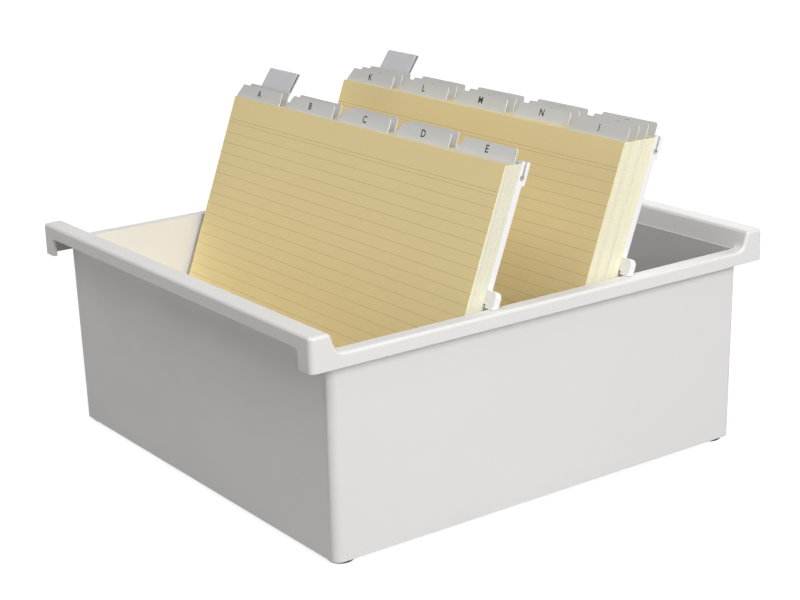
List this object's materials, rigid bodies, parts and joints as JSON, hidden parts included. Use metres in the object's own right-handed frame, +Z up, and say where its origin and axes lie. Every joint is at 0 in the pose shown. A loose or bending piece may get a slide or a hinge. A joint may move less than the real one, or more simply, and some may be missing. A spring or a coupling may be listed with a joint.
{
  "type": "card index tray",
  "caption": "Open desk tray that holds upright index cards behind lettered guides, with leaning support plates that slide along its rims.",
  "frame": {"origin": "middle of the footprint, at the level of the feet", "axes": "+Z up, +Y from the front lip to the back lip, +X to the right seen from the front"},
  "size_m": [0.23, 0.2418, 0.1601],
  "materials": {
    "tray_plastic": "light grey moulded polystyrene, fine satin",
    "plate_plastic": "off-white moulded plastic, satin",
    "label_plastic": "folded grey film, slightly glossy",
    "guide_plastic": "grey guide sheet with white cut edges and black single letters",
    "card_paper": "uncoated yellow index card with printed rules",
    "foot_rubber": "black rubber"
  },
  "bodies": {
    "tray": {"tray": "tray_plastic", "feet": "foot_rubber"},
    "front_plate": {"front_support_plate": "plate_plastic"},
    "front_label": {"front_label_tab": "label_plastic"},
    "rear_plate": {"rear_support_plate": "plate_plastic"},
    "rear_label": {"rear_label_tab": "label_plastic"},
    "section_before_a": {"cards_before_a": "card_paper"},
    "section_before_j": {"cards_before_j": "card_paper"},
    "section_a": {"guide_a": "guide_plastic", "cards_a": "card_paper"},
    "section_b": {"guide_b": "guide_plastic", "cards_b": "card_paper"},
    "section_c": {"guide_c": "guide_plastic", "cards_c": "card_paper"},
    "section_d": {"guide_d": "guide_plastic", "cards_d": "card_paper"},
    "section_e": {"guide_e": "guide_plastic", "cards_e": "card_paper"},
    "section_f": {"guide_f": "guide_plastic", "cards_f": "card_paper"},
    "section_g": {"guide_g": "guide_plastic", "cards_g": "card_paper"},
    "section_h": {"guide_h": "guide_plastic", "cards_h": "card_paper"},
    "section_i": {"guide_i": "guide_plastic", "cards_i": "card_paper"},
    "section_j": {"guide_j": "guide_plastic", "cards_j": "card_paper"},
    "section_k": {"guide_k": "guide_plastic", "cards_k": "card_paper"},
    "section_l": {"guide_l": "guide_plastic", "cards_l": "card_paper"},
    "section_m": {"guide_m": "guide_plastic", "cards_m": "card_paper"},
    "section_n": {"guide_n": "guide_plastic", "cards_n": "card_paper"},
    "section_o": {"guide_o": "guide_plastic", "cards_o": "card_paper"},
    "section_p": {"guide_p": "guide_plastic", "cards_p": "card_paper"},
    "section_q": {"guide_q": "guide_plastic", "cards_q": "card_paper"},
    "section_r": {"guide_r": "guide_plastic", "cards_r": "card_paper"},
    "section_s": {"guide_s": "guide_plastic", "cards_s": "card_paper"},
    "section_t": {"guide_t": "guide_plastic", "cards_t": "card_paper"},
    "section_u": {"guide_u": "guide_plastic", "cards_u": "card_paper"},
    "section_v": {"guide_v": "guide_plastic", "cards_v": "card_paper"},
    "section_w": {"guide_w": "guide_plastic", "cards_w": "card_paper"},
    "section_xy": {"guide_xy": "guide_plastic", "cards_xy": "card_paper"},
    "section_z": {"guide_z": "guide_plastic", "cards_z": "card_paper"}
  },
  "joints": [
    {"name": "front_plate_slide", "type": "slide", "parent": "tray", "child": "front_plate", "axis": [0, 1, 0], "range_m": [-0.018, 0]},
    {"name": "rear_plate_slide", "type": "slide", "parent": "tray", "child": "rear_plate", "axis": [0, 1, 0], "range_m": [0, 0.05]},
    {"name": "front_label_slide", "type": "slide", "parent": "front_plate", "child": "front_label", "axis": [1, 0, 0], "range_m": [-0.004, 0.1815]},
    {"name": "rear_label_slide", "type": "slide", "parent": "rear_plate", "child": "rear_label", "axis": [1, 0, 0], "range_m": [-0.001, 0.1845]},
    {"name": "section_before_a_turn", "type": "hinge", "parent": "front_plate", "child": "section_before_a", "pos_m": [0, -0.0703, 0.0095], "axis": [1, 0, 0], "range_deg": [0, 32]},
    {"name": "section_a_turn", "type": "hinge", "parent": "front_plate", "child": "section_a", "pos_m": [0, -0.06954, 0.00936], "axis": [1, 0, 0], "range_deg": [0, 29.88]},
    {"name": "section_b_turn", "type": "hinge", "parent": "front_plate", "child": "section_b", "pos_m": [0, -0.06877, 0.00936], "axis": [1, 0, 0], "range_deg": [0, 27.74]},
    {"name": "section_c_turn", "type": "hinge", "parent": "front_plate", "child": "section_c", "pos_m": [0, -0.068, 0.00936], "axis": [1, 0, 0], "range_deg": [0, 25.61]},
    {"name": "section_d_turn", "type": "hinge", "parent": "front_plate", "child": "section_d", "pos_m": [0, -0.06723, 0.00936], "axis": [1, 0, 0], "range_deg": [0, 23.48]},
    {"name": "section_e_turn", "type": "hinge", "parent": "front_plate", "child": "section_e", "pos_m": [0, -0.06646, 0.00936], "axis": [1, 0, 0], "range_deg": [0, 21.34]},
    {"name": "section_f_turn", "type": "hinge", "parent": "front_plate", "child": "section_f", "pos_m": [0, -0.06569, 0.00936], "axis": [1, 0, 0], "range_deg": [0, 19.21]},
    {"name": "section_g_turn", "type": "hinge", "parent": "front_plate", "child": "section_g", "pos_m": [0, -0.06492, 0.00936], "axis": [1, 0, 0], "range_deg": [0, 17.08]},
    {"name": "section_h_turn", "type": "hinge", "parent": "front_plate", "child": "section_h", "pos_m": [0, -0.06415, 0.00936], "axis": [1, 0, 0], "range_deg": [0, 14.94]},
    {"name": "section_i_turn", "type": "hinge", "parent": "front_plate", "child": "section_i", "pos_m": [0, -0.06338, 0.00936], "axis": [1, 0, 0], "range_deg": [0, 12.81]},
    {"name": "section_before_j_turn", "type": "hinge", "parent": "rear_plate", "child": "section_before_j", "pos_m": [0, -0.0058, 0.0095], "axis": [1, 0, 0], "range_deg": [0, 15]},
    {"name": "section_j_turn", "type": "hinge", "parent": "rear_plate", "child": "section_j", "pos_m": [0, -0.00505, 0.00936], "axis": [1, 0, 0], "range_deg": [0, 14.26]},
    {"name": "section_k_turn", "type": "hinge", "parent": "rear_plate", "child": "section_k", "pos_m": [0, -0.00404, 0.00936], "axis": [1, 0, 0], "range_deg": [0, 13.51]},
    {"name": "section_l_turn", "type": "hinge", "parent": "rear_plate", "child": "section_l", "pos_m": [0, -0.00303, 0.00936], "axis": [1, 0, 0], "range_deg": [0, 12.76]},
    {"name": "section_m_turn", "type": "hinge", "parent": "rear_plate", "child": "section_m", "pos_m": [0, -0.00202, 0.00936], "axis": [1, 0, 0], "range_deg": [0, 12.01]},
    {"name": "section_n_turn", "type": "hinge", "parent": "rear_plate", "child": "section_n", "pos_m": [0, -0.00102, 0.00936], "axis": [1, 0, 0], "range_deg": [0, 11.26]},
    {"name": "section_o_turn", "type": "hinge", "parent": "rear_plate", "child": "section_o", "pos_m": [0, -0.00001, 0.00936], "axis": [1, 0, 0], "range_deg": [0, 10.51]},
    {"name": "section_p_turn", "type": "hinge", "parent": "rear_plate", "child": "section_p", "pos_m": [0, 0.001, 0.00936], "axis": [1, 0, 0], "range_deg": [0, 9.76]},
    {"name": "section_q_turn", "type": "hinge", "parent": "rear_plate", "child": "section_q", "pos_m": [0, 0.002, 0.00936], "axis": [1, 0, 0], "range_deg": [0, 9.01]},
    {"name": "section_r_turn", "type": "hinge", "parent": "rear_plate", "child": "section_r", "pos_m": [0, 0.00301, 0.00936], "axis": [1, 0, 0], "range_deg": [0, 8.26]},
    {"name": "section_s_turn", "type": "hinge", "parent": "rear_plate", "child": "section_s", "pos_m": [0, 0.00402, 0.00936], "axis": [1, 0, 0], "range_deg": [0, 7.51]},
    {"name": "section_t_turn", "type": "hinge", "parent": "rear_plate", "child": "section_t", "pos_m": [0, 0.00502, 0.00936], "axis": [1, 0, 0], "range_deg": [0, 6.76]},
    {"name": "section_u_turn", "type": "hinge", "parent": "rear_plate", "child": "section_u", "pos_m": [0, 0.00603, 0.00936], "axis": [1, 0, 0], "range_deg": [0, 6.01]},
    {"name": "section_v_turn", "type": "hinge", "parent": "rear_plate", "child": "section_v", "pos_m": [0, 0.00704, 0.00936], "axis": [1, 0, 0], "range_deg": [0, 5.26]},
    {"name": "section_w_turn", "type": "hinge", "parent": "rear_plate", "child": "section_w", "pos_m": [0, 0.00805, 0.00936], "axis": [1, 0, 0], "range_deg": [0, 4.51]},
    {"name": "section_xy_turn", "type": "hinge", "parent": "rear_plate", "child": "section_xy", "pos_m": [0, 0.00905, 0.00936], "axis": [1, 0, 0], "range_deg": [0, 3.76]},
    {"name": "section_z_turn", "type": "hinge", "parent": "rear_plate", "child": "section_z", "pos_m": [0, 0.01006, 0.00936], "axis": [1, 0, 0], "range_deg": [0, 3.01]}
  ],
  "couplings": [
    {"joint": "section_a_turn", "follows": "section_before_a_turn", "ratio": 0.9333},
    {"joint": "section_b_turn", "follows": "section_before_a_turn", "ratio": 0.8667},
    {"joint": "section_c_turn", "follows": "section_before_a_turn", "ratio": 0.8},
    {"joint": "section_d_turn", "follows": "section_before_a_turn", "ratio": 0.7333},
    {"joint": "section_e_turn", "follows": "section_before_a_turn", "ratio": 0.6667},
    {"joint": "section_f_turn", "follows": "section_before_a_turn", "ratio": 0.6},
    {"joint": "section_g_turn", "follows": "section_before_a_turn", "ratio": 0.5333},
    {"joint": "section_h_turn", "follows": "section_before_a_turn", "ratio": 0.4667},
    {"joint": "section_i_turn", "follows": "section_before_a_turn", "ratio": 0.4},
    {"joint": "section_j_turn", "follows": "section_before_j_turn", "ratio": 0.95},
    {"joint": "section_k_turn", "follows": "section_before_j_turn", "ratio": 0.9},
    {"joint": "section_l_turn", "follows": "section_before_j_turn", "ratio": 0.85},
    {"joint": "section_m_turn", "follows": "section_before_j_turn", "ratio": 0.8},
    {"joint": "section_n_turn", "follows": "section_before_j_turn", "ratio": 0.75},
    {"joint": "section_o_turn", "follows": "section_before_j_turn", "ratio": 0.7},
    {"joint": "section_p_turn", "follows": "section_before_j_turn", "ratio": 0.65},
    {"joint": "section_q_turn", "follows": "section_before_j_turn", "ratio": 0.6},
    {"joint": "section_r_turn", "follows": "section_before_j_turn", "ratio": 0.55},
    {"joint": "section_s_turn", "follows": "section_before_j_turn", "ratio": 0.5},
    {"joint": "section_t_turn", "follows": "section_before_j_turn", "ratio": 0.45},
    {"joint": "section_u_turn", "follows": "section_before_j_turn", "ratio": 0.4},
    {"joint": "section_v_turn", "follows": "section_before_j_turn", "ratio": 0.35},
    {"joint": "section_w_turn", "follows": "section_before_j_turn", "ratio": 0.3},
    {"joint": "section_xy_turn", "follows": "section_before_j_turn", "ratio": 0.25},
    {"joint": "section_z_turn", "follows": "section_before_j_turn", "ratio": 0.2}
  ]
}
